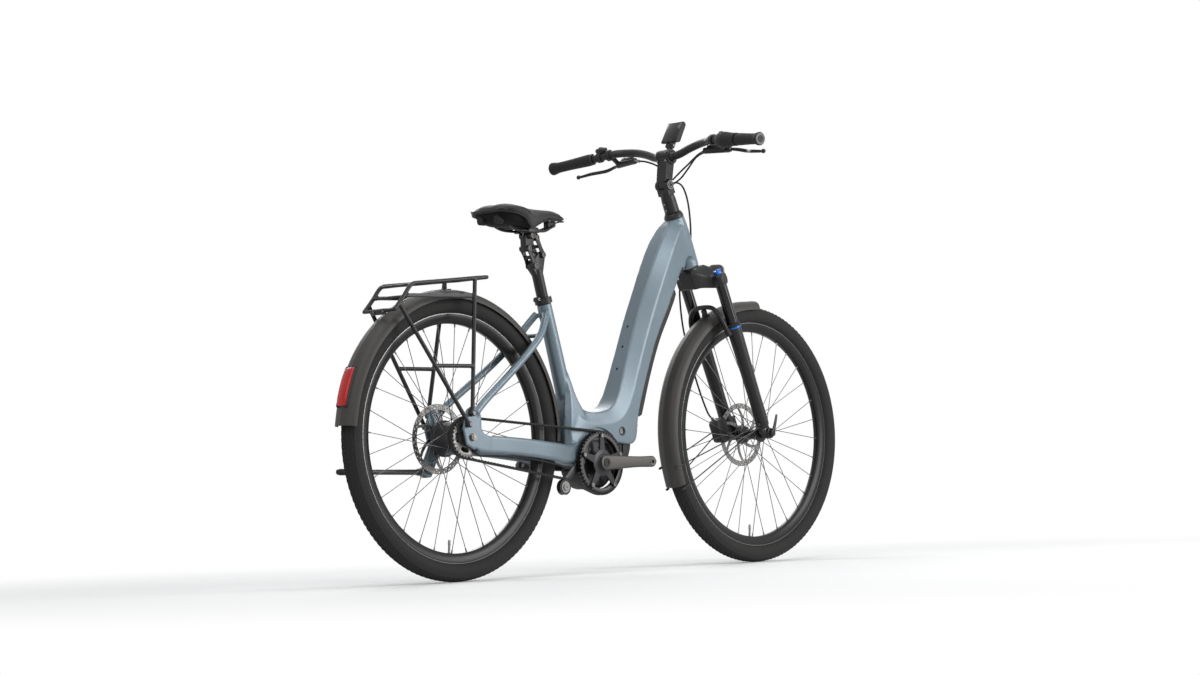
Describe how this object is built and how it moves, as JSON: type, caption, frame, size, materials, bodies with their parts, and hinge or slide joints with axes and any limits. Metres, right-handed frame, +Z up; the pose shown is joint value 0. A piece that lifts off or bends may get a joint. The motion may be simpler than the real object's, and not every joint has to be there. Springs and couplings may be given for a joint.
{
  "type": "step-through bike",
  "caption": "Step-through electric city bicycle with belt drive, suspension fork and seatpost, disc brakes, mudguards and rear carrier.",
  "frame": {"origin": "centre of the bounding box's base: the tyres stand on z = 0", "axes": "+X forward, +Y to the rider's left, +Z up"},
  "size_m": [1.9222, 0.7804, 1.24],
  "materials": {
    "frame_paint": "satin blue-grey paint",
    "black_paint": "satin black",
    "satin_metal": "anodised, satin",
    "rotor_steel": "brushed",
    "caliper_black": "anodised black",
    "crank_grey": "satin grey",
    "black_plastic": "matte",
    "button_plastic": "semi-gloss",
    "lockout_blue": "anodised blue",
    "tyre_rubber": "matte",
    "rubber": "matte",
    "reflector_red": "gloss, prismatic",
    "lamp_glass": "clear lens on a black case",
    "saddle_cover": "soft, matte"
  },
  "bodies": {
    "frame": {"frame": "frame_paint", "seat_clamp": "black_paint", "motor_unit": "satin_metal", "motor_guard": "black_plastic", "drive_belt": "rubber", "rear_axle": "satin_metal", "rear_fender": "black_plastic", "rear_reflector": "reflector_red", "rack": "black_paint", "rear_caliper": "caliper_black", "hub_interface": "black_plastic"},
    "rear_wheel": {"rear_tyre": "tyre_rubber", "rear_rim": "black_paint", "rear_hub": "satin_metal", "rear_rotor": "rotor_steel"},
    "rear_drive": {"rear_pulley": "rotor_steel"},
    "crankset": {"crank_spindle": "rotor_steel", "right_crank": "crank_grey", "left_crank": "crank_grey", "front_pulley": "satin_metal"},
    "tensioner": {"tensioner_arm": "satin_metal"},
    "idler": {"idler_pulley": "satin_metal"},
    "kickstand": {"kickstand_leg": "crank_grey"},
    "battery": {"battery_pack": "black_plastic", "battery_cover": "black_plastic"},
    "lock_barrel": {"battery_lock": "rotor_steel"},
    "steering": {"fork_upper": "black_paint", "headset_cover": "black_paint", "stem_base": "black_paint", "headlight_bracket": "black_paint", "front_brake_hose": "rubber"},
    "lowers": {"fork_lowers": "black_paint", "front_caliper": "caliper_black", "front_fender": "black_plastic"},
    "through_axle": {"front_axle": "satin_metal"},
    "front_wheel": {"front_tyre": "tyre_rubber", "front_rim": "black_paint", "front_hub": "satin_metal", "front_rotor": "rotor_steel"},
    "lockout": {"lockout_knob": "lockout_blue"},
    "lamp": {"headlight": "lamp_glass"},
    "bars": {"stem_arm": "black_paint", "handlebar": "black_paint", "right_grip": "rubber", "left_grip": "rubber", "shifter_housing": "black_plastic", "right_brake_body": "caliper_black", "left_brake_body": "caliper_black", "remote_pod": "black_plastic"},
    "shifter": {"twist_shifter": "rubber"},
    "right_lever": {"right_brake_lever": "satin_metal"},
    "left_lever": {"left_brake_lever": "satin_metal"},
    "button": {"remote_button": "button_plastic"},
    "display": {"display": "black_plastic"},
    "post": {"seatpost": "black_paint"},
    "rear_link": {"seatpost_rear_link": "black_paint"},
    "front_link": {"seatpost_front_link": "black_paint"},
    "saddle": {"seatpost_head": "black_paint", "saddle_rails": "satin_metal", "saddle_cushion": "saddle_cover"}
  },
  "joints": [
    {"name": "steering_turn", "type": "hinge", "parent": "frame", "child": "steering", "pos_m": [0.35271, 0, 0.833], "axis": [-0.3746, 0, 0.9272], "range_deg": [-60, 60]},
    {"name": "fork_travel", "type": "slide", "parent": "steering", "child": "lowers", "axis": [-0.3746, 0, 0.9272], "range_m": [0, 0.05], "stiffness_N_per_m": 9000, "springref_m": -0.035, "deforming": ["front_brake_hose"]},
    {"name": "front_wheel_spin", "type": "hinge", "parent": "lowers", "child": "front_wheel", "pos_m": [0.5972, 0, 0.364], "axis": [0, 1, 0], "continuous": true},
    {"name": "rear_wheel_spin", "type": "hinge", "parent": "frame", "child": "rear_wheel", "pos_m": [-0.5828, 0, 0.364], "axis": [0, 1, 0], "continuous": true},
    {"name": "crank_spin", "type": "hinge", "parent": "frame", "child": "crankset", "pos_m": [-0.0908, 0, 0.292], "axis": [0, 1, 0], "continuous": true},
    {"name": "rear_pulley_spin", "type": "hinge", "parent": "frame", "child": "rear_drive", "pos_m": [-0.5828, -0.048, 0.364], "axis": [0, 1, 0], "continuous": true},
    {"name": "tensioner_swing", "type": "hinge", "parent": "frame", "child": "tensioner", "pos_m": [-0.1508, -0.039, 0.3], "axis": [0, -1, 0], "range_deg": [0, 8], "stiffness_Nm_per_rad": 6, "springref_deg": -17.19},
    {"name": "idler_spin", "type": "hinge", "parent": "tensioner", "child": "idler", "pos_m": [-0.2318, -0.048, 0.2305], "axis": [0, 1, 0], "continuous": true},
    {"name": "kickstand_swing", "type": "hinge", "parent": "frame", "child": "kickstand", "pos_m": [-0.6088, 0.081, 0.281], "axis": [0, -1, 0], "range_deg": [0, 102]},
    {"name": "battery_tilt", "type": "hinge", "parent": "frame", "child": "battery", "pos_m": [0.07044, 0, 0.42096], "axis": [0, 1, 0], "range_deg": [0, 8]},
    {"name": "lock_turn", "type": "hinge", "parent": "frame", "child": "lock_barrel", "pos_m": [0.0082, -0.04, 0.376], "axis": [0, 1, 0], "range_deg": [0, 90]},
    {"name": "axle_lever_turn", "type": "hinge", "parent": "lowers", "child": "through_axle", "pos_m": [0.5972, -0.079, 0.364], "axis": [0, 1, 0], "range_deg": [0, 180]},
    {"name": "lockout_turn", "type": "hinge", "parent": "steering", "child": "lockout", "pos_m": [0.3992, -0.065, 0.81403], "axis": [-0.3746, 0, 0.9272], "range_deg": [0, 90]},
    {"name": "lamp_tilt", "type": "hinge", "parent": "steering", "child": "lamp", "pos_m": [0.46423, 0, 0.80256], "axis": [0, -1, 0], "range_deg": [-4, 12]},
    {"name": "stem_angle", "type": "hinge", "parent": "steering", "child": "bars", "pos_m": [0.26186, 0, 1.05784], "axis": [0, 1, 0], "range_deg": [-15, 15]},
    {"name": "shifter_twist", "type": "hinge", "parent": "bars", "child": "shifter", "pos_m": [0.23863, -0.266, 1.15519], "axis": [-0.1721, -0.9794, -0.1059], "range_deg": [-40, 100]},
    {"name": "right_lever_pull", "type": "hinge", "parent": "bars", "child": "right_lever", "pos_m": [0.3012, -0.204, 1.141], "axis": [0, 0, -1], "range_deg": [0, 14], "stiffness_Nm_per_rad": 0.8, "springref_deg": -14.32},
    {"name": "left_lever_pull", "type": "hinge", "parent": "bars", "child": "left_lever", "pos_m": [0.3012, 0.204, 1.141], "axis": [0, 0, 1], "range_deg": [0, 14], "stiffness_Nm_per_rad": 0.8, "springref_deg": -14.32},
    {"name": "button_press", "type": "slide", "parent": "bars", "child": "button", "axis": [0, 0, -1], "range_m": [0, 0.0018], "stiffness_N_per_m": 800, "springref_m": -0.001},
    {"name": "display_tilt", "type": "hinge", "parent": "bars", "child": "display", "pos_m": [0.2922, 0, 1.171], "axis": [0, 1, 0], "range_deg": [-12, 15]},
    {"name": "seat_height", "type": "slide", "parent": "frame", "child": "post", "axis": [-0.2588, 0, 0.9659], "range_m": [-0.035, 0.09]},
    {"name": "seat_rear_link_swing", "type": "hinge", "parent": "post", "child": "rear_link", "pos_m": [-0.2738, 0, 0.8145], "axis": [0, -1, 0], "range_deg": [0, 40], "stiffness_Nm_per_rad": 60, "springref_deg": -14.32},
    {"name": "seat_front_link_swing", "type": "hinge", "parent": "post", "child": "front_link", "pos_m": [-0.2438, 0, 0.844], "axis": [0, -1, 0], "range_deg": [0, 40]},
    {"name": "seat_head_swing", "type": "hinge", "parent": "rear_link", "child": "saddle", "pos_m": [-0.2958, 0, 0.8595], "axis": [0, -1, 0], "range_deg": [-40, 0]}
  ],
  "couplings": [
    {"joint": "rear_pulley_spin", "follows": "crank_spin", "ratio": 1.6},
    {"joint": "idler_spin", "follows": "crank_spin", "ratio": -3.9},
    {"joint": "seat_front_link_swing", "follows": "seat_rear_link_swing", "ratio": 1},
    {"joint": "seat_head_swing", "follows": "seat_rear_link_swing", "ratio": -1}
  ]
}
